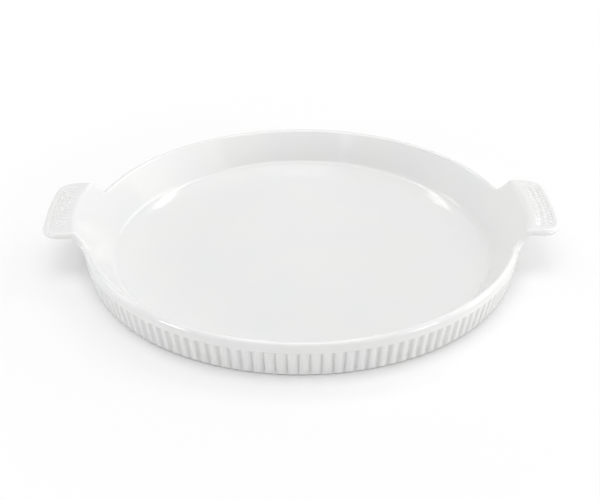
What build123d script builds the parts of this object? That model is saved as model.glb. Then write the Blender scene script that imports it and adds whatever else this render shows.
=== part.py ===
# Round fluted quiche dish of glazed white stoneware with two raised tab handles.
# Millimetres and degrees, +Z up. The origin is the centre of the circle that the
# dish stands on, and the handles lie along X, the right one towards +X.
from build123d import *

import os
from math import atan, cos, degrees, radians, sin, sqrt, tan

# Driving dimensions of the bowl
rim_radius = 145.0         # outside of the plain band below the rim
rim_height = 24.0          # table to the top of the rim
wall_thickness = 4.8       # wall at the rim, and the handles
band_height = 6.5          # plain band between the flutes and the top of the rim
base_setback = 3.2         # foot of the fluted wall, inside the rim's outside
inside_lean = 36.87        # inside of the wall, from the vertical
floor_thickness = 3.0      # base disc
floor_corner_radius = 4.5  # hollow corner between the floor and the inside wall
foot_height = 0.3          # bare ring under the wall
foot_outer_setback = 2.0   # foot ring's outside, inside the fluted wall's outside
foot_width = 9.5           # foot ring, across its flat
bottom_edge_radius = 1.1   # lower outside edge of the fluted wall, where the flutes run out

# Driving dimensions of the flutes
flute_count = 136
flute_radius = 1.6         # hollow of one flute
flute_depth = 1.0          # deepest point of a flute below the ribs
first_flute_share = 0.5    # share of a flute's pitch from +X to the first flute

# Driving dimensions of the handles
handle_length = 23.75      # from the rim's outside to a handle's outer edge
handle_width = 72.4        # across the two straight sides
handle_height = 34.4       # top of the handle where it leaves the crest
handle_droop = 3.4         # fall of the handle's top outwards, in degrees
crest_radius = 7.4         # rounding between the inside wall and the handle's top
corner_radius = 12.0       # outer corners, seen from above
outer_edge_radius = 280.0  # sweep of the outer edge, seen from above
flare_radius = 9.0         # hollow corner between a handle's side and the rim
flare_margin = 5.0         # handle piece past the end of the flare, along the rim
panel_length = 58.0        # sunken panel in a handle's top, along the rim
panel_outer_border = 4.2   # raised border between the panel and the outer edge
panel_inner_gap = 8.2      # from the rim's outside to the panel's inner side
panel_corner_radius = 3.0   # corners of the panel, seen from above
panel_depth = 0.5          # panel below its border

# Working sizes
core_thickness = 0.05      # thin sheet that is rounded out to the full wall
overrun = 5.0              # how far a cut reaches past what it cuts

# Sizes that follow from these
nose_radius = wall_thickness / 2
base_radius = rim_radius - base_setback
foot_outer_radius = base_radius - foot_outer_setback
foot_inner_radius = foot_outer_radius - foot_width
floor_top = foot_height + floor_thickness
flute_top = rim_height - band_height
nose_centre_radius = rim_radius - nose_radius
nose_centre_height = rim_height - nose_radius
lean_sine = sin(radians(inside_lean))
lean_cosine = cos(radians(inside_lean))
lean_slope = tan(radians(inside_lean))

# The inside wall is a cone that touches the round nose of the rim
inside_touch_radius = nose_centre_radius - nose_radius * lean_cosine
inside_touch_height = nose_centre_height + nose_radius * lean_sine


def inside_radius(height):
    return inside_touch_radius + (height - inside_touch_height) * lean_slope


def outside_radius(height):
    return base_radius + base_setback * height / flute_top


# The hollow corner touches the floor and the cone
wall_climb = 90 - inside_lean
corner_run = floor_corner_radius * tan(radians(wall_climb / 2))
floor_edge_radius = inside_radius(floor_top) - corner_run
corner_top_height = floor_top + corner_run * lean_cosine
corner_top_radius = inside_radius(corner_top_height)
corner_mid_radius = floor_edge_radius + floor_corner_radius * sin(radians(wall_climb / 2))
corner_mid_height = floor_top + floor_corner_radius * (1 - cos(radians(wall_climb / 2)))

# Seen from above, the flare is an arc that touches the rim and a handle's side
handle_reach = rim_radius + handle_length
handle_half_width = handle_width / 2
flare_centre_y = handle_half_width + flare_radius
flare_centre_x = sqrt((rim_radius + flare_radius) ** 2 - flare_centre_y ** 2)
flare_end_angle = degrees(atan(flare_centre_y / flare_centre_x))
handle_half_angle = flare_end_angle + degrees(flare_margin / rim_radius)

os.makedirs("parts", exist_ok=True)

# Floor: the base disc, glazed above and below
with BuildPart() as floor:
    with BuildSketch(Plane.XY.offset(foot_height)):
        Circle(floor_edge_radius)
    extrude(amount=floor_thickness)
floor.part.label = "floor"
export_step(floor.part, "parts/floor.step")

# Foot ring: the bare ring that the dish stands on
with BuildPart() as foot_ring:
    with BuildSketch(Plane.XY):
        Circle(foot_outer_radius)
        Circle(foot_inner_radius, mode=Mode.SUBTRACT)
    extrude(amount=foot_height)
foot_ring.part.label = "foot_ring"
export_step(foot_ring.part, "parts/foot_ring.step")

# Fluted wall: the ring with the hollow inside corner and the flutes outside
edge_start_radius = outside_radius(foot_height) - bottom_edge_radius
edge_end_height = foot_height + bottom_edge_radius
edge_share = 1 - cos(radians(45))
wall_lean = degrees(atan(base_setback / flute_top))
flute_axis_offset = flute_radius - flute_depth
flute_length = (flute_top + overrun) / cos(radians(wall_lean))
flute_planes = []
for index in range(flute_count):
    turn = 360 * (index + first_flute_share) / flute_count
    outward = Vector(cos(radians(turn)), sin(radians(turn)), 0)
    sideways = Vector(-sin(radians(turn)), cos(radians(turn)), 0)
    along = outward * sin(radians(wall_lean)) + Vector(0, 0, 1) * cos(radians(wall_lean))
    start = outward * (base_radius + flute_axis_offset)
    flute_planes.append(Plane(origin=start, x_dir=sideways, z_dir=along))

with BuildPart() as fluted_wall:
    with BuildSketch(Plane.XZ):
        with BuildLine():
            Polyline(
                (floor_edge_radius, floor_top),
                (floor_edge_radius, foot_height),
                (edge_start_radius, foot_height),
            )
            ThreePointArc(
                (edge_start_radius, foot_height),
                (
                    outside_radius(edge_end_height) - bottom_edge_radius * edge_share,
                    foot_height + bottom_edge_radius * edge_share,
                ),
                (outside_radius(edge_end_height), edge_end_height),
            )
            Polyline(
                (outside_radius(edge_end_height), edge_end_height),
                (rim_radius, flute_top),
                (inside_radius(flute_top), flute_top),
                (corner_top_radius, corner_top_height),
            )
            ThreePointArc(
                (corner_top_radius, corner_top_height),
                (corner_mid_radius, corner_mid_height),
                (floor_edge_radius, floor_top),
            )
        make_face()
    revolve(axis=Axis.Z)
    with BuildSketch(*flute_planes):
        Circle(flute_radius)
    extrude(amount=flute_length, mode=Mode.SUBTRACT)
fluted_wall.part.label = "fluted_wall"
export_step(fluted_wall.part, "parts/fluted_wall.step")


def side_plane(angle):
    # Upright plane through the dish's axis, its X pointing outwards at this angle
    outward = Vector(cos(radians(angle)), sin(radians(angle)), 0)
    return Plane(origin=(0, 0, 0), x_dir=outward, z_dir=outward.cross(Vector(0, 0, 1)))


# Rim: the plain band with its round nose, in two arcs between the handles
rim_arc_angle = 180 - 2 * handle_half_angle
with BuildPart() as rim:
    for start_angle in (handle_half_angle, 180 + handle_half_angle):
        with BuildSketch(side_plane(start_angle)):
            with BuildLine():
                Polyline(
                    (inside_touch_radius, inside_touch_height),
                    (inside_radius(flute_top), flute_top),
                    (rim_radius, flute_top),
                    (rim_radius, nose_centre_height),
                )
                ThreePointArc(
                    (rim_radius, nose_centre_height),
                    (nose_centre_radius, rim_height),
                    (inside_touch_radius, inside_touch_height),
                )
            make_face()
        revolve(axis=Axis.Z, revolution_arc=rim_arc_angle)
rim.part.label = "rim"
export_step(rim.part, "parts/rim.step")

# A handle's section. The inside wall goes on up its cone, turns over at the crest and
# runs out as the handle's top. Every point is a depth below that one line.
droop = radians(handle_droop)
crest_corner_radius = inside_radius(handle_height)
crest_turn = radians(wall_climb) + droop
crest_run = crest_radius * tan(crest_turn / 2)
crest_centre_radius = crest_corner_radius - crest_run * lean_sine + crest_radius * lean_cosine
crest_centre_height = handle_height - crest_run * lean_cosine - crest_radius * lean_sine
crest_start_angle = 90 + wall_climb
crest_end_angle = 90 - handle_droop


def cone_radius(height, depth):
    return inside_radius(height) + depth / lean_cosine


def top_height(radius, depth):
    return handle_height - (radius - crest_corner_radius) * tan(droop) - depth / cos(droop)


def crest_point(angle, depth):
    reach = crest_radius - depth
    height = crest_centre_height + reach * sin(radians(angle))
    return crest_centre_radius + reach * cos(radians(angle)), height


def crest_arc(depth, inwards=False):
    # Arc over the crest at this depth, from the wall outwards or the other way
    angles = [crest_start_angle, (crest_start_angle + crest_end_angle) / 2, crest_end_angle]
    if inwards:
        angles.reverse()
    ThreePointArc(*[crest_point(angle, depth) for angle in angles])


def arc_about(centre, radius, start_angle, end_angle):
    # Arc in the plan, by its centre and the directions of its ends
    points = []
    for angle in (start_angle, (start_angle + end_angle) / 2, end_angle):
        turned = radians(angle)
        points.append((centre[0] + radius * cos(turned), centre[1] + radius * sin(turned)))
    ThreePointArc(*points)
    return points[0], points[2]


def handle_plan(inset):
    # Outline from above, moved inwards by the inset: rim, flare, side, corner, outer edge
    rim_arc_radius = rim_radius - inset
    flare_arc_radius = flare_radius + inset
    flare_start = 180 + flare_end_angle
    corner_arc_radius = corner_radius - inset
    corner_y = handle_half_width - corner_radius
    edge_centre_x = handle_reach - outer_edge_radius
    corner_swing = sqrt((outer_edge_radius - corner_radius) ** 2 - corner_y ** 2)
    corner_x = edge_centre_x + corner_swing
    edge_angle = degrees(atan(corner_y / corner_swing))
    wide_angle = handle_half_angle + degrees(overrun / rim_radius)
    for side in (1, -1):
        start, end = arc_about((0, 0), rim_arc_radius, side * wide_angle, side * flare_end_angle)
        Line((0, 0), start)
        centre = (flare_centre_x, side * flare_centre_y)
        start, flare_foot = arc_about(centre, flare_arc_radius, side * flare_start, side * 270)
        centre = (corner_x, side * corner_y)
        corner_start, end = arc_about(centre, corner_arc_radius, side * 90, side * edge_angle)
        Line(flare_foot, corner_start)
    arc_about((edge_centre_x, 0), outer_edge_radius - inset, edge_angle, -edge_angle)


# Sunken panel of the right handle, as the block to take out of its top
panel_half = panel_length / 2
panel_inner_radius = rim_radius + panel_inner_gap
panel_edge_radius = outer_edge_radius - panel_outer_border
panel_outer_angle = degrees(atan(panel_half / sqrt(panel_edge_radius ** 2 - panel_half ** 2)))
panel_inner_angle = degrees(atan(panel_half / sqrt(panel_inner_radius ** 2 - panel_half ** 2)))
with BuildPart() as panel_block:
    with BuildSketch(side_plane(-handle_half_angle)):
        with BuildLine():
            Polyline(
                (panel_inner_radius - overrun, top_height(panel_inner_radius - overrun, panel_depth)),
                (handle_reach, top_height(handle_reach, panel_depth)),
                (handle_reach, handle_height + overrun),
                (panel_inner_radius - overrun, handle_height + overrun),
                close=True,
            )
        make_face()
    revolve(axis=Axis.Z, revolution_arc=2 * handle_half_angle)
    with BuildSketch(Plane.XY):
        with BuildLine():
            edge_centre = (handle_reach - outer_edge_radius, 0)
            outer_start, outer_end = arc_about(
                edge_centre, panel_edge_radius, -panel_outer_angle, panel_outer_angle
            )
            inner_start, inner_end = arc_about(
                (0, 0), panel_inner_radius, panel_inner_angle, -panel_inner_angle
            )
            Line(outer_end, inner_start)
            Line(inner_end, outer_start)
        panel_face = make_face()
        fillet(panel_face.vertices(), radius=panel_corner_radius)
    extrude(amount=handle_height + 2 * overrun, mode=Mode.INTERSECT)

# Right handle: a thin core sheet, cut to its outline and rounded out to the full wall,
# with the plain band filled in below it
rounding = (wall_thickness - core_thickness) / 2
core_end_radius = handle_reach + overrun
core_low_height = flute_top - overrun
with BuildPart() as right_handle:
    with BuildSketch(side_plane(-handle_half_angle)):
        with BuildLine():
            upper, lower = rounding, wall_thickness - rounding
            Line(
                (cone_radius(core_low_height, upper), core_low_height),
                crest_point(crest_start_angle, upper),
            )
            crest_arc(upper)
            Polyline(
                crest_point(crest_end_angle, upper),
                (core_end_radius, top_height(core_end_radius, upper)),
                (core_end_radius, top_height(core_end_radius, lower)),
                crest_point(crest_end_angle, lower),
            )
            crest_arc(lower, inwards=True)
            Polyline(
                crest_point(crest_start_angle, lower),
                (cone_radius(core_low_height, lower), core_low_height),
                (cone_radius(core_low_height, upper), core_low_height),
            )
        make_face()
    revolve(axis=Axis.Z, revolution_arc=2 * handle_half_angle)
    with BuildSketch(Plane.XY):
        with BuildLine():
            handle_plan(rounding)
        make_face()
    extrude(amount=2 * handle_height, mode=Mode.INTERSECT)
    offset(amount=rounding, kind=Kind.ARC)
    with BuildSketch(side_plane(-handle_half_angle)):
        Polygon(
            (cone_radius(core_low_height, nose_radius), core_low_height),
            (rim_radius, core_low_height),
            (rim_radius, nose_centre_height),
            (nose_centre_radius, nose_centre_height),
            align=None,
        )
    revolve(axis=Axis.Z, revolution_arc=2 * handle_half_angle)
    with BuildSketch(side_plane(-handle_half_angle)):
        with Locations((handle_reach, flute_top)):
            Rectangle(
                2 * (handle_reach - floor_edge_radius),
                handle_height,
                align=(Align.CENTER, Align.MIN),
            )
    revolve(axis=Axis.Z, revolution_arc=2 * handle_half_angle, mode=Mode.INTERSECT)
    add(panel_block.part, mode=Mode.SUBTRACT)
right_handle.part.label = "right_handle"
export_step(right_handle.part, "parts/right_handle.step")

# Left handle: the right one mirrored across the dish
with BuildPart() as left_handle:
    mirror(right_handle.part, about=Plane.YZ)
left_handle.part.label = "left_handle"
export_step(left_handle.part, "parts/left_handle.step")
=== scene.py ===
# Fluted quiche dish in white glazed stoneware
import math

import bpy
from mathutils import Matrix, Vector


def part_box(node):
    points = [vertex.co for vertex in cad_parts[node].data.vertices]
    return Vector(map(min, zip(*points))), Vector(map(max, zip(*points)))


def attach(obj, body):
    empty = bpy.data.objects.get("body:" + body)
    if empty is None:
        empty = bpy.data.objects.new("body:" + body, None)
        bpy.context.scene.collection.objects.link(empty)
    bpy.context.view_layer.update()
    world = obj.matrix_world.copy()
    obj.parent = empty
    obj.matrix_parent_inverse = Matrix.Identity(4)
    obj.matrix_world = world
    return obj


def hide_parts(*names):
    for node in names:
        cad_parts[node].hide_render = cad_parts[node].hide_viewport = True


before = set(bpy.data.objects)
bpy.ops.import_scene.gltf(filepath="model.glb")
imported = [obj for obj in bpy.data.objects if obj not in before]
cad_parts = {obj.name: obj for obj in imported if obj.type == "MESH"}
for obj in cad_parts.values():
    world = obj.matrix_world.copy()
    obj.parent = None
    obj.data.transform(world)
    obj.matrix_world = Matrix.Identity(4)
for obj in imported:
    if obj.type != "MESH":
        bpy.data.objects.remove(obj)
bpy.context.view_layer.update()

mm = 0.001
print("frame loaded, nodes:", ", ".join(sorted(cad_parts)))

# Sizes shared by every piece, read from the frame where it has them
floorLow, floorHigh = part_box("floor")
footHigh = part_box("foot_ring")[1]
rimLow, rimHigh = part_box("rim")
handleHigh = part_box("right_handle")[1]
dish = {
    "rimRadius": rimHigh.y,
    "rimHeight": rimHigh.z,
    "bandLow": rimLow.z,              # top of the flutes
    "floorTop": floorHigh.z,
    "floorBottom": floorLow.z,
    "floorEdge": floorHigh.x,         # end of the flat floor
    "footOuter": footHigh.x,
    "footWidth": 9.5 * mm,
    "baseSetback": 3.2 * mm,          # foot of the fluted wall, inside the rim's outside
    "wall": 4.8 * mm,
    "insideLean": math.radians(36.87),
    "cornerRadius": 4.5 * mm,         # hollow corner round the floor
}
halfWall = dish["wall"] / 2
leanSine = math.sin(dish["insideLean"])
leanCosine = math.cos(dish["insideLean"])
leanSlope = math.tan(dish["insideLean"])
noseRadius = dish["rimRadius"] - halfWall
noseHeight = dish["rimHeight"] - halfWall
touchRadius = noseRadius - halfWall * leanCosine
touchHeight = noseHeight + halfWall * leanSine
wallClimb = math.pi / 2 - dish["insideLean"]
seamSteps = 4                         # across the wall, where it meets the rim
sharpAngle = math.radians(46.0)       # between two faces, from which their edge stays sharp
sameRadius = 1e-8                     # most by which two equal radii differ, in metres


def insideRadius(z):
    # Radius of the dish's leaning inside at this height
    return touchRadius + (z - touchHeight) * leanSlope


def polar(centre, radius, angle):
    return centre[0] + radius * math.cos(angle), centre[1] + radius * math.sin(angle)


def blendOf(a, b, share):
    return a + (b - a) * share


def smoothStep(low, high, value):
    share = min(max((value - low) / (high - low), 0.0), 1.0)
    return share * share * (3 - 2 * share)


def spin(profilePoint, angle):
    # A point of a section, as radius and height, turned to its place round the dish
    return profilePoint[0] * math.cos(angle), profilePoint[0] * math.sin(angle), profilePoint[1]


def arcPoints(centre, radius, start, end, count):
    return [polar(centre, radius, blendOf(start, end, k / count)) for k in range(count + 1)]


def linePoints(a, b, count):
    # Points from a to b, leaving out b itself
    return [tuple(blendOf(p, q, k / count) for p, q in zip(a, b)) for k in range(count)]


def loft(loops, allRound):
    # Joins closed loops of equal length, and caps both ends unless they go all round
    size = len(loops[0])
    points = [point for loop in loops for point in loop]
    faces = []
    spans = len(loops) if allRound else len(loops) - 1
    for i in range(spans):
        here, there = i * size, (i + 1) % len(loops) * size
        for k in range(size):
            after = (k + 1) % size
            faces.append((here + k, there + k, there + after, here + after))
    if not allRound:
        faces.append(tuple(range(size)))
        faces.append(tuple(range(len(points) - 1, len(points) - size - 1, -1)))
    return points, faces


def makePiece(name, parts, material, slotName, *nodes):
    # One object from any number of closed meshes, standing for its nodes of the frame
    points, faces = [], []
    for partPoints, partFaces in parts:
        start = len(points)
        points.extend(partPoints)
        faces.extend(tuple(start + k for k in face) for face in partFaces)
    mesh = bpy.data.meshes.new(name)
    mesh.from_pydata(points, [], faces)
    mesh.shade_smooth()
    mesh.set_sharp_from_angle(angle=sharpAngle)
    mesh.materials.append(material)
    piece = bpy.data.objects.new(name, mesh)
    bpy.context.scene.collection.objects.link(piece)
    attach(piece, "root")
    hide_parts(*nodes)
    print(name, "has", len(points), "points")


# White glaze: faint unevenness in tone, in gloss and in the thickness of the glaze
noiseRange = (0.3, 0.7)           # where nearly all values of a noise lie
glaze = {
    "tone": (0.77, 0.775, 0.775, 1.0),
    "toneThick": (0.79, 0.79, 0.78, 1.0),
    "toneScale": 22.0,
    "toneDetail": 3.0,
    "gloss": (0.04, 0.10),        # least and most roughness
    "glossScale": 45.0,
    "glossDetail": 4.0,
    "ripple": 0.12 * mm,          # height of the slow waves in the glaze
    "rippleScale": 55.0,
    "rippleDetail": 1.0,
    "peel": 0.006 * mm,           # height of the fine texture
    "peelScale": 700.0,
    "peelDetail": 2.0,
    "ior": 1.55,
}


def newMaterial(name):
    material = bpy.data.materials.new(name)
    material.use_nodes = True
    nodes = material.node_tree.nodes
    return material, nodes, material.node_tree.links, nodes["Principled BSDF"]


def addNoise(nodes, links, place, scale, detail):
    noise = nodes.new("ShaderNodeTexNoise")
    noise.inputs["Scale"].default_value = scale
    noise.inputs["Detail"].default_value = detail
    links.new(place, noise.inputs["Vector"])
    return noise.outputs["Fac"]


def addRange(nodes, links, value, low, high):
    ranged = nodes.new("ShaderNodeMapRange")
    ranged.inputs["From Min"].default_value = noiseRange[0]
    ranged.inputs["From Max"].default_value = noiseRange[1]
    ranged.inputs["To Min"].default_value = low
    ranged.inputs["To Max"].default_value = high
    links.new(value, ranged.inputs["Value"])
    return ranged.outputs["Result"]


def addBump(nodes, links, height, distance, normal=None):
    bump = nodes.new("ShaderNodeBump")
    bump.inputs["Strength"].default_value = 1.0
    bump.inputs["Distance"].default_value = distance
    links.new(height, bump.inputs["Height"])
    if normal:
        links.new(normal, bump.inputs["Normal"])
    return bump.outputs["Normal"]


def addBlend(nodes, links, share, colorA, colorB):
    mix = nodes.new("ShaderNodeMix")
    mix.data_type = "RGBA"
    mix.inputs["A"].default_value = colorA
    mix.inputs["B"].default_value = colorB
    links.new(share, mix.inputs["Factor"])
    return mix.outputs["Result"]


def makeGlaze():
    material, nodes, links, shader = newMaterial("whiteGlaze")
    place = nodes.new("ShaderNodeTexCoord").outputs["Object"]
    tone = addNoise(nodes, links, place, glaze["toneScale"], glaze["toneDetail"])
    share = addRange(nodes, links, tone, 0.0, 1.0)
    links.new(addBlend(nodes, links, share, glaze["tone"], glaze["toneThick"]),
              shader.inputs["Base Color"])
    gloss = addNoise(nodes, links, place, glaze["glossScale"], glaze["glossDetail"])
    links.new(addRange(nodes, links, gloss, *glaze["gloss"]), shader.inputs["Roughness"])
    ripple = addNoise(nodes, links, place, glaze["rippleScale"], glaze["rippleDetail"])
    peel = addNoise(nodes, links, place, glaze["peelScale"], glaze["peelDetail"])
    waves = addBump(nodes, links, ripple, glaze["ripple"])
    links.new(addBump(nodes, links, peel, glaze["peel"], waves), shader.inputs["Normal"])
    shader.inputs["IOR"].default_value = glaze["ior"]
    return material


whiteGlaze = makeGlaze()

# Bare clay of the foot: matt, a little warmer, with fine grain
clay = {
    "tone": (0.66, 0.62, 0.55, 1.0),
    "toneWorn": (0.76, 0.73, 0.67, 1.0),
    "roughness": (0.7, 0.9),
    "grain": 0.03 * mm,           # its height
    "grainScale": 900.0,
    "grainDetail": 5.0,
}


def makeClay():
    material, nodes, links, shader = newMaterial("bareClay")
    place = nodes.new("ShaderNodeTexCoord").outputs["Object"]
    grain = addNoise(nodes, links, place, clay["grainScale"], clay["grainDetail"])
    share = addRange(nodes, links, grain, 0.0, 1.0)
    links.new(addBlend(nodes, links, share, clay["tone"], clay["toneWorn"]),
              shader.inputs["Base Color"])
    links.new(addRange(nodes, links, grain, *clay["roughness"]), shader.inputs["Roughness"])
    links.new(addBump(nodes, links, grain, clay["grain"]), shader.inputs["Normal"])
    return material


bareClay = makeClay()
print("materials made")

# Floor: a disc in rings, flat above and below
floorDisc = {
    "margin": 0.45 * mm,          # seam inside the start of the hollow corner
    "rings": 24,
    "steps": 384,
}
seamRadius = dish["floorEdge"] - floorDisc["margin"]


def makeFloor():
    steps, rings = floorDisc["steps"], floorDisc["rings"]
    sections = [(seamRadius * (k + 1) / rings, dish["floorTop"]) for k in range(rings)]
    sections += [(seamRadius * (rings - k) / rings, dish["floorBottom"]) for k in range(rings)]
    points = [spin(section, math.tau * i / steps) for section in sections for i in range(steps)]
    faces = []
    for ring in range(len(sections) - 1):
        for i in range(steps):
            a, b = ring * steps + i, ring * steps + (i + 1) % steps
            faces.append((a, a + steps, b + steps, b))
    points.append((0.0, 0.0, dish["floorTop"]))
    points.append((0.0, 0.0, dish["floorBottom"]))
    lastRing = (len(sections) - 1) * steps
    for i in range(steps):
        after = (i + 1) % steps
        faces.append((len(points) - 2, i, after))
        faces.append((len(points) - 1, lastRing + after, lastRing + i))
    return points, faces


makePiece("floorDisc", [makeFloor()], whiteGlaze, "white_glaze", "floor")

# Foot ring: bare clay, with its lower edges rubbed round
footRing = {
    "edge": 0.25 * mm,            # radius of its lower edges
    "edgeSteps": 5,
    "topSteps": 6,
    "steps": 360,
}


def makeFoot():
    outer, inner = dish["footOuter"], dish["footOuter"] - dish["footWidth"]
    edge, top = footRing["edge"], dish["floorBottom"]
    down, count = 1.5 * math.pi, footRing["edgeSteps"]
    section = [(inner, top)]
    section += arcPoints((inner + edge, edge), edge, math.pi, down, count)
    section += arcPoints((outer - edge, edge), edge, down, math.tau, count)
    section += linePoints((outer, top), (inner, top), footRing["topSteps"])
    turns = [math.tau * i / footRing["steps"] for i in range(footRing["steps"])]
    return loft([[spin(point, turn) for point in section] for turn in turns], True)


makePiece("footRing", [makeFoot()], bareClay, "bare_clay", "foot_ring")

# Fluted wall: the hollow corner inside, and the flutes outside
flutes = {
    "count": 136,
    "first": 0.5,                 # share of a pitch from +X to the first hollow
    "depth": 1.7 * mm,
    "power": 1.8,                 # how much narrower a hollow is than a rib
    "ledge": 0.5 * mm,            # height over which a hollow starts below the band
    "runOut": 2.4 * mm,           # height over which it gets shallower above the lower edge
    "footShare": 0.45,            # of its depth, left at the lower edge
    "steps": 14,                  # from one hollow to the next
}
wallShape = {
    "cornerSteps": 12,            # round the hollow corner
    "coneSteps": 4,               # from there up to the rim
    "topRound": 3.0 * mm,         # between the upright band and the leaning ribs
    "topSteps": 6,
    "ribSteps": 10,
    "bottomRound": 1.1 * mm,      # lower edge, between the ribs and the flat underneath
    "bottomSteps": 8,
    "underSteps": 3,
}
baseRadius = dish["rimRadius"] - dish["baseSetback"]
pitch = math.tau / flutes["count"]
wallLean = math.atan(dish["baseSetback"] / dish["bandLow"])


def fluteDepth(offset):
    # How far the surface lies inside the ribs, at this angle from a hollow's middle
    wave = (1 + math.cos(math.tau * offset / pitch)) / 2
    return flutes["depth"] * wave ** flutes["power"]


def fluteShare(height):
    # How much of its full depth a hollow has at this height
    low = height - dish["floorBottom"]
    foot = flutes["footShare"]
    below = foot + (1 - foot) * smoothStep(0.0, flutes["runOut"], low)
    return below * smoothStep(0.0, flutes["ledge"], dish["bandLow"] - height)


def wallInside():
    # From the flat floor up the hollow corner and the cone to the seam with the rim
    run = dish["cornerRadius"] * math.tan(wallClimb / 2)
    edge = insideRadius(dish["floorTop"]) - run
    centre = (edge, dish["floorTop"] + dish["cornerRadius"])
    path = [(seamRadius, dish["floorTop"])]
    path += arcPoints(centre, dish["cornerRadius"], -math.pi / 2, wallClimb - math.pi / 2,
                      wallShape["cornerSteps"])
    top = (insideRadius(dish["bandLow"]), dish["bandLow"])
    path += linePoints(path[-1], top, wallShape["coneSteps"])[1:]
    return path + linePoints(top, (dish["rimRadius"], dish["bandLow"]), seamSteps)


def wallOutside():
    # Down the ribs from the band to the flat underneath: radius, height, the ribs' radius
    # before their lower edge is rounded, and the hollows' share of their depth
    topRound, bottomRound = wallShape["topRound"], wallShape["bottomRound"]
    top = dish["bandLow"]
    rows = arcPoints((dish["rimRadius"] - topRound, top), topRound, 0.0, -wallLean,
                     wallShape["topSteps"])
    low = dish["floorBottom"] + bottomRound
    lowRadius = baseRadius + dish["baseSetback"] * low / top
    rows += linePoints(rows[-1], (lowRadius, low), wallShape["ribSteps"])[1:]
    edge = arcPoints((lowRadius - bottomRound, low), bottomRound, 0.0, -math.pi / 2,
                     wallShape["bottomSteps"])
    shaped = [(r, z, r) for r, z in rows]
    shaped += [(r, z, baseRadius + dish["baseSetback"] * z / top) for r, z in edge]
    return [(r, z, rib, fluteShare(z)) for r, z, rib in shaped]


def wallLoop(turn, offset, inside, outside):
    # One closed section of the wall, with its outside sunk by the hollow at this turn
    loop = list(inside)
    for radius, height, ribRadius, share in outside:
        loop.append((min(radius, ribRadius - share * fluteDepth(offset)), height))
    under = (seamRadius, dish["floorBottom"])
    loop += linePoints(loop[-1], under, wallShape["underSteps"])[1:]
    return [spin(point, turn) for point in loop + [under]]


def makeWall():
    inside, outside = wallInside(), wallOutside()
    loops = []
    for index in range(flutes["count"]):
        middle = (index + flutes["first"]) * pitch
        for k in range(flutes["steps"]):
            offset = pitch * k / flutes["steps"]
            loops.append(wallLoop(middle + offset, offset, inside, outside))
    return loft(loops, True)


makePiece("flutedWall", [makeWall()], whiteGlaze, "white_glaze", "fluted_wall")

# Handles: a sheet that climbs the wall's cone, turns over a crest and runs out flat
handle = {
    "reach": handleHigh.x,
    "halfWidth": 36.2 * mm,
    "height": 34.31 * mm,         # where the top leaves the crest
    "droop": math.radians(3.4),
    "crestRadius": 4.6 * mm,
    "cornerRadius": 12.0 * mm,
    "edgeRadius": 280.0 * mm,     # sweep of the outer edge, seen from above
    "flareRadius": 9.0 * mm,
    "flareMargin": 5.0 * mm,
    "step": 0.34 * mm,            # between the mesh's columns
    "topRows": 110,               # from the wall over the crest to the edge
    "edgeRows": 96,               # round the edge, back under it and down the band
    "footRows": 5,                # across the wall, under the band
    "roundSteps": 39,             # how finely the line of the edge rows is worked out
    "underSteps": 160,
    "bandSteps": 24,
    "underRound": 1.4 * mm,       # hollow where the underside meets the band
    "smoothing": 60,              # times that the hollow's points move
    "smoothingShare": 0.5,        # of the way to the middle of their neighbours
}
edgeCentreX = handle["reach"] - handle["edgeRadius"]
flareCentreY = handle["halfWidth"] + handle["flareRadius"]
flareCentreX = math.sqrt((dish["rimRadius"] + handle["flareRadius"]) ** 2 - flareCentreY ** 2)
flareEnd = math.atan(flareCentreY / flareCentreX)
halfAngle = flareEnd + handle["flareMargin"] / dish["rimRadius"]
crestCorner = insideRadius(handle["height"])
crestRun = handle["crestRadius"] * math.tan((wallClimb + handle["droop"]) / 2)
crestCentre = (
    crestCorner - crestRun * leanSine + handle["crestRadius"] * leanCosine,
    handle["height"] - crestRun * leanCosine - handle["crestRadius"] * leanSine,
)
crestStart = math.pi / 2 + wallClimb
crestEnd = math.pi / 2 - handle["droop"]
crestMiddle = handle["crestRadius"] - halfWall    # radius of the sheet's middle there

# Sunken panel in a handle's top, inside its raised border
panel = {
    "halfLength": 29.0 * mm,
    "inner": 153.2 * mm,          # from the dish's axis
    "outerBorder": 4.2 * mm,
    "corner": 3.0 * mm,
    "depth": 0.5 * mm,
    "ramp": 1.1 * mm,             # width of the border's slope into the panel
    "innerRamp": 4.0 * mm,        # width of the soft slope down from the crest
}
borderRadius = handle["edgeRadius"] - panel["outerBorder"]

# Small raised pips that fill the panel in staggered rows
pips = {
    "rows": 3,
    "pitch": 4.2 * mm,
    "radius": 1.4 * mm,
    "height": 0.45 * mm,
    "sunk": 0.2 * mm,             # how far a pip's underside lies in the handle
    "innerMargin": 2.6 * mm,
    "outerMargin": 1.7 * mm,
    "endMargin": 2.2 * mm,
    "steps": 16,
    "rings": 5,
    "firstRing": 0.4,             # height of the lowest ring, in rings
}


def middleSheet(radius):
    # Height of the sheet's middle at this radius, and its upward normal in the section
    firstRadius, firstHeight = polar(crestCentre, crestMiddle, crestStart)
    lastRadius, lastHeight = polar(crestCentre, crestMiddle, crestEnd)
    if radius <= firstRadius:
        return firstHeight + (radius - firstRadius) / leanSlope, -leanCosine, leanSine
    if radius >= lastRadius:
        fall = (radius - lastRadius) * math.tan(handle["droop"])
        return lastHeight - fall, math.sin(handle["droop"]), math.cos(handle["droop"])
    across = radius - crestCentre[0]
    rise = math.sqrt(crestMiddle ** 2 - across ** 2)
    return crestCentre[1] + rise, across / crestMiddle, rise / crestMiddle


def sheetPoint(x, y, lift):
    # A point of the sheet above or below (x, y) of its middle
    radius = math.hypot(x, y)
    height, normalOut, normalUp = middleSheet(radius)
    normal = Vector((normalOut * x / radius, normalOut * y / radius, normalUp))
    return Vector((x, y, height)) + normal * lift, normal


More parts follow.
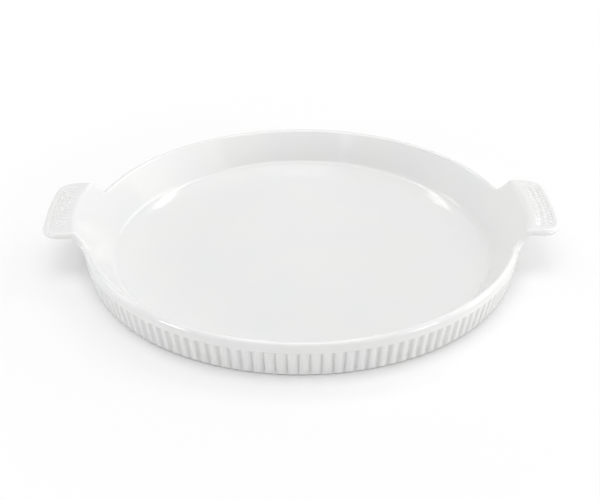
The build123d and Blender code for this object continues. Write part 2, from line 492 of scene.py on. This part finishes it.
def panelRelief(x, y):
    # How far the top sinks at (x, y), from the distance to the panel's rounded outline
    outwards = math.hypot(x - edgeCentreX, y) - borderRadius
    across = outwards + panel["corner"]
    along = abs(y) - panel["halfLength"] + panel["corner"]
    apart = math.hypot(max(across, 0.0), max(along, 0.0)) + min(max(across, along), 0.0)
    inside = smoothStep(-panel["ramp"] / 2, panel["ramp"] / 2, panel["corner"] - apart)
    inwards = smoothStep(0.0, panel["innerRamp"], math.hypot(x, y) - panel["inner"])
    return -panel["depth"] * inside * inwards


def handleOutline():
    # Half of the sheet's edge seen from above, from the rim to the middle of the outer edge
    cornerY = handle["halfWidth"] - handle["cornerRadius"]
    swing = math.sqrt((handle["edgeRadius"] - handle["cornerRadius"]) ** 2 - cornerY ** 2)
    cornerX = edgeCentreX + swing
    edgeAngle = math.atan(cornerY / swing)
    side = handle["halfWidth"] - halfWall

    def arc(centre, radius, start, end):
        count = math.ceil(abs(end - start) * radius / handle["step"])
        return arcPoints(centre, radius, start, end, count)[:-1]

    rimPart = arc((0.0, 0.0), noseRadius, halfAngle, flareEnd)
    rest = arc((flareCentreX, flareCentreY), handle["flareRadius"] + halfWall,
               math.pi + flareEnd, 1.5 * math.pi)
    count = math.ceil((cornerX - flareCentreX) / handle["step"])
    rest += linePoints((flareCentreX, side), (cornerX, side), count)
    rest += arc((cornerX, cornerY), handle["cornerRadius"] - halfWall, math.pi / 2, edgeAngle)
    rest += arc((edgeCentreX, 0.0), handle["edgeRadius"] - halfWall, edgeAngle, 0.0)
    # Each point looks back to its own place on the seam inside the dish
    turns = [math.atan2(y, x) for x, y in rimPart]
    turns += [flareEnd * (1 - k / len(rest)) for k in range(len(rest))]
    return rimPart + rest, turns, (handle["reach"] - halfWall, 0.0)


def resample(path, count):
    # This many points at equal distances along the path, and its last one
    lengths = [0.0]
    for a, b in zip(path, path[1:]):
        lengths.append(lengths[-1] + (b - a).length)
    picked, k = [], 0
    for i in range(count):
        wanted = lengths[-1] * i / count
        while lengths[k + 1] < wanted:
            k += 1
        share = (wanted - lengths[k]) / (lengths[k + 1] - lengths[k])
        picked.append(path[k].lerp(path[k + 1], share))
    return picked, path[-1]


def outerPath(point, tangent, seam):
    # Round the sheet's edge, back under it and down the band to the top of the flutes
    x, y = point
    middle, normal = sheetPoint(x, y, 0.0)
    outwards = tangent.cross(normal).normalized()
    path = []
    for k in range(handle["roundSteps"] + 1):
        angle = math.pi / 2 - math.pi * k / handle["roundSteps"]
        path.append(middle + (outwards * math.cos(angle) + normal * math.sin(angle)) * halfWall)
    for k in range(1, handle["underSteps"]):
        share = k / handle["underSteps"]
        underX, underY = blendOf(x, seam[0], share), blendOf(y, seam[1], share)
        path.append(sheetPoint(underX, underY, -halfWall)[0])
    radii = [math.hypot(p.x, p.y) for p in path]
    limit = dish["rimRadius"] + sameRadius
    outside = [k for k, radius in enumerate(radii) if radius > limit]
    if outside:
        last = outside[-1]
        share = (radii[last] - dish["rimRadius"]) / (radii[last] - radii[last + 1])
        path = path[:last + 1] + [path[last].lerp(path[last + 1], share)]
    else:
        path = path[:radii.index(max(radii)) + 1]
    corner, cornerIndex = path[-1], len(path) - 1
    turn = math.atan2(corner.y, corner.x)
    foot = Vector(spin((dish["rimRadius"], dish["bandLow"]), turn))
    count = handle["bandSteps"]
    path += [corner.lerp(foot, k / count) for k in range(1, count + 1)]
    return roundCorner(path, cornerIndex)


def roundCorner(path, index):
    # Rounds the hollow at this point of the path, by smoothing the points near it
    span = handle["underRound"]
    near = [k for k in range(1, len(path) - 1) if (path[k] - path[index]).length < span]
    for _ in range(handle["smoothing"]):
        moved = {k: (path[k - 1] + path[k + 1]) / 2 for k in near}
        for k, place in moved.items():
            path[k] = path[k].lerp(place, handle["smoothingShare"])
    return path


def handleLoop(point, tangent, turn):
    # One closed section: up the inside, over the top, round the edge and back under
    firstRadius = insideRadius(dish["bandLow"]) + halfWall * leanCosine
    seam = polar((0.0, 0.0), firstRadius, turn)
    loop = []
    for k in range(handle["topRows"]):
        share = k / handle["topRows"]
        x, y = blendOf(seam[0], point[0], share), blendOf(seam[1], point[1], share)
        lift = halfWall + panelRelief(x, y)
        loop.append(sheetPoint(x, y, lift)[0])
    picked, foot = resample(outerPath(point, tangent, seam), handle["edgeRows"])
    loop += picked
    loop += [foot.lerp(loop[0], k / handle["footRows"]) for k in range(handle["footRows"])]
    return [tuple(p) for p in loop]


def makeHandle():
    halfPoints, halfTurns, middle = handleOutline()
    points = halfPoints + [middle] + [(x, -y) for x, y in reversed(halfPoints)]
    turns = halfTurns + [0.0] + [-turn for turn in reversed(halfTurns)]
    places = [sheetPoint(x, y, 0.0)[0] for x, y in points]
    loops = []
    for i, point in enumerate(points):
        tangent = places[min(i + 1, len(places) - 1)] - places[max(i - 1, 0)]
        loops.append(handleLoop(point, -tangent.normalized(), turns[i]))
    return loft(loops, False)


def makePip(x, y):
    # A low dome on the panel, closed below its surface
    levels = [(pips["radius"], -pips["sunk"])]
    for k in range(pips["rings"]):
        climb = math.pi / 2 * (k + pips["firstRing"]) / pips["rings"]
        levels.append((pips["radius"] * math.cos(climb), pips["height"] * math.sin(climb)))
    loops = []
    for reach, lift in levels:
        loop = []
        for i in range(pips["steps"]):
            px, py = polar((x, y), reach, math.tau * i / pips["steps"])
            loop.append(tuple(sheetPoint(px, py, halfWall + panelRelief(px, py) + lift)[0]))
        loops.append(loop)
    return loft(loops, False)


def makePips():
    # The rows run between the panel's inner arc and its outer one
    count = int(2 * (panel["halfLength"] - pips["endMargin"]) / pips["pitch"])
    made = []
    for row in range(pips["rows"]):
        places = count + row % 2
        for column in range(places):
            y = (column - (places - 1) / 2) * pips["pitch"]
            inner = math.sqrt(panel["inner"] ** 2 - y * y) + pips["innerMargin"]
            outer = edgeCentreX + math.sqrt(borderRadius ** 2 - y * y) - pips["outerMargin"]
            made.append(makePip(blendOf(inner, outer, row / (pips["rows"] - 1)), y))
    return made


def mirrored(part):
    # The same mesh on the dish's other side
    points, faces = part
    return [(-x, y, z) for x, y, z in points], [tuple(reversed(face)) for face in faces]


rightParts = [makeHandle()] + makePips()
leftParts = [mirrored(part) for part in rightParts]
makePiece("rightHandle", rightParts, whiteGlaze, "white_glaze", "right_handle")
makePiece("leftHandle", leftParts, whiteGlaze, "white_glaze", "left_handle")

# Rim: the plain band with its round nose, in two arcs between the handles
rim = {
    "step": math.radians(0.35),   # between the mesh's sections
    "insideSteps": 6,
    "noseSteps": 26,
    "bandSteps": 8,
}


def rimSection():
    # Up the inside, over the nose, down the band and back across the seam with the wall
    low = dish["bandLow"]
    section = linePoints((insideRadius(low), low), (touchRadius, touchHeight),
                         rim["insideSteps"])
    section += arcPoints((noseRadius, noseHeight), halfWall, crestStart, 0.0, rim["noseSteps"])
    section += linePoints((dish["rimRadius"], noseHeight), (dish["rimRadius"], low),
                          rim["bandSteps"])[1:]
    return section + linePoints((dish["rimRadius"], low), (insideRadius(low), low), seamSteps)


def makeRimArc(start):
    section = rimSection()
    sweep = math.pi - 2 * halfAngle
    count = math.ceil(sweep / rim["step"])
    turns = [start + sweep * i / count for i in range(count + 1)]
    return loft([[spin(point, turn) for point in section] for turn in turns], False)


makePiece("rimBand", [makeRimArc(halfAngle), makeRimArc(halfAngle + math.pi)],
          whiteGlaze, "white_glaze", "rim")
print("dish made")

# Camera: placed by a fit to the outlines of the rim, the base and the handles
camera = {
    "place": (-7.236 * mm, -645.238 * mm, 383.474 * mm),
    "pitch": math.radians(30.777),
    "heading": math.radians(0.563),
    "roll": math.radians(-0.104),
    "lens": 66.0,
    "sensor": 36.0,
    "clipStart": 10.0 * mm,
}


def makeCamera():
    # It looks down by its pitch, and turns to the right of +Y by its heading
    tilt, heading, roll = camera["pitch"], camera["heading"], camera["roll"]
    forward = Vector((math.sin(heading) * math.cos(tilt),
                      math.cos(heading) * math.cos(tilt), -math.sin(tilt)))
    level = Vector((math.cos(heading), -math.sin(heading), 0.0))
    upward = level.cross(forward)
    right = level * math.cos(roll) + upward * math.sin(roll)
    up = upward * math.cos(roll) - level * math.sin(roll)
    data = bpy.data.cameras.new("photoCamera")
    data.lens = camera["lens"]
    data.sensor_width = camera["sensor"]
    data.clip_start = camera["clipStart"]
    item = bpy.data.objects.new("photoCamera", data)
    turned = Matrix((right, up, -forward)).transposed().to_4x4()
    item.matrix_world = Matrix.Translation(camera["place"]) @ turned
    bpy.context.scene.collection.objects.link(item)
    bpy.context.scene.camera = item


makeCamera()

# Studio: a pale floor that keeps the dish's shadow near it but is painted white further out,
# and soft lamps
studio = {
    "floorSize": 8.0,                 # metres
    "floorTone": (0.88, 0.88, 0.88, 1.0),
    # Share of painted white that adds no light, by distance from the dish's axis: it paints out
    # the dish's shadow on the floor away from the dish
    "glow": ((0.15, 0.0), (0.17, 0.22), (0.205, 0.56), (0.3, 0.92), (0.45, 1.0)),
    "glowStretch": (1.2, 1.0, 0.0),   # the painted white starts nearer to the dish at its sides, and hides the handles' shadows there
    "worldTone": (1.0, 1.0, 1.0, 1.0),
    "worldLevel": 0.35,               # what the dish is lit by, all round
    "glossShare": 0.55,               # of the plain white, in the dish's reflections
}
lamps = {                         # bearing from +X and climb in degrees, distance, size, power
    "rightLow": (0.0, 9.0, 2.0, 0.6, 5.8),
    "rightFrontLow": (326.0, 7.0, 2.0, 0.5, 8.2),
    "leftFrontLow": (209.0, 7.0, 2.0, 0.5, 9.8),
    "leftLow": (180.0, 12.0, 2.0, 0.7, 1.4),
    "right": (0.0, 33.0, 2.0, 1.8, 8.0),
    "backRight": (45.0, 39.0, 2.0, 1.1, 6.4),
    "backStreakRight": (79.0, 49.0, 2.0, 0.22, 1.0),
    "backStreakLeft": (98.0, 49.0, 2.0, 0.22, 0.9),
    "backLeft": (140.0, 42.0, 2.0, 0.4, 2.2),
    "leftHigh": (180.0, 60.0, 2.0, 0.7, 2.4),
    "leftFrontHigh": (225.0, 60.0, 2.0, 0.7, 2.0),
    "top": (270.0, 86.0, 2.0, 1.4, 15.4),
}


def seenPlain(nodes, links):
    # 1 where the camera sees the floor or the world, less where the gloss shows it, else 0
    path = nodes.new("ShaderNodeLightPath")
    seen = nodes.new("ShaderNodeMath")
    seen.operation = "MULTIPLY_ADD"
    seen.use_clamp = True
    seen.inputs[1].default_value = studio["glossShare"]
    links.new(path.outputs["Is Glossy Ray"], seen.inputs[0])
    links.new(path.outputs["Is Camera Ray"], seen.inputs[2])
    return seen.outputs[0]


def makeStage():
    # Matt, and blended with painted plain white as far as that is seen, which hides the dish's
    # shadow away from the dish
    material = bpy.data.materials.new("studioFloor")
    material.use_nodes = True
    nodes, links = material.node_tree.nodes, material.node_tree.links
    nodes.clear()
    output = nodes.new("ShaderNodeOutputMaterial")
    matt = nodes.new("ShaderNodeBsdfDiffuse")
    matt.inputs["Color"].default_value = studio["floorTone"]
    # Painted light: white that the floor shows in place of its shade, away from the dish
    glow = nodes.new("ShaderNodeEmission")
    mix = nodes.new("ShaderNodeMixShader")
    place = nodes.new("ShaderNodeTexCoord").outputs["Object"]
    stretched = nodes.new("ShaderNodeVectorMath")
    stretched.operation = "MULTIPLY"
    stretched.inputs[1].default_value = studio["glowStretch"]
    links.new(place, stretched.inputs[0])
    away = nodes.new("ShaderNodeVectorMath")
    away.operation = "LENGTH"
    links.new(stretched.outputs["Vector"], away.inputs[0])
    rise = nodes.new("ShaderNodeValToRGB")
    stops = rise.color_ramp.elements
    while len(stops) < len(studio["glow"]):
        stops.new(0.5)                # each gets its real position below
    for stop, (position, level) in zip(stops, studio["glow"]):
        stop.position = position
        stop.color = (level, level, level, 1.0)
    links.new(away.outputs["Value"], rise.inputs["Fac"])
    share = nodes.new("ShaderNodeMath")
    share.operation = "MULTIPLY"
    links.new(seenPlain(nodes, links), share.inputs[0])
    links.new(rise.outputs["Color"], share.inputs[1])
    links.new(share.outputs[0], mix.inputs[0])
    links.new(matt.outputs[0], mix.inputs[1])
    links.new(glow.outputs[0], mix.inputs[2])
    links.new(mix.outputs[0], output.inputs[0])
    mesh = bpy.data.meshes.new("studioFloor")
    reach = studio["floorSize"] / 2
    signs = ((-1, -1), (1, -1), (1, 1), (-1, 1))
    mesh.from_pydata([(reach * x, reach * y, 0.0) for x, y in signs], [], [(0, 1, 2, 3)])
    mesh.materials.append(material)
    ground = bpy.data.objects.new("studioFloor", mesh)
    bpy.context.scene.collection.objects.link(ground)


def makeWorld():
    # Weak where it lights the dish, and plain white where it is seen
    world = bpy.data.worlds.new("studioWorld")
    world.use_nodes = True
    nodes, links = world.node_tree.nodes, world.node_tree.links
    background = nodes["Background"]
    background.inputs["Color"].default_value = studio["worldTone"]
    level = nodes.new("ShaderNodeMix")
    level.inputs["A"].default_value = studio["worldLevel"]
    level.inputs["B"].default_value = 1.0
    links.new(seenPlain(nodes, links), level.inputs["Factor"])
    links.new(level.outputs["Result"], background.inputs["Strength"])
    bpy.context.scene.world = world


def makeLamps():
    # Square lamps, which all face the middle of the dish
    for name, (bearing, climb, distance, size, power) in lamps.items():
        data = bpy.data.lights.new(name, "AREA")
        data.size = size
        data.energy = power
        item = bpy.data.objects.new(name, data)
        flat, up = polar((0.0, 0.0), distance, math.radians(climb))
        place = Vector((*polar((0.0, 0.0), flat, math.radians(bearing)), up))
        item.location = place
        item.rotation_euler = (-place).to_track_quat("-Z", "Y").to_euler()
        bpy.context.scene.collection.objects.link(item)


makeStage()
makeWorld()
makeLamps()
bpy.context.scene.view_settings.view_transform = "Standard"
print("studio made")
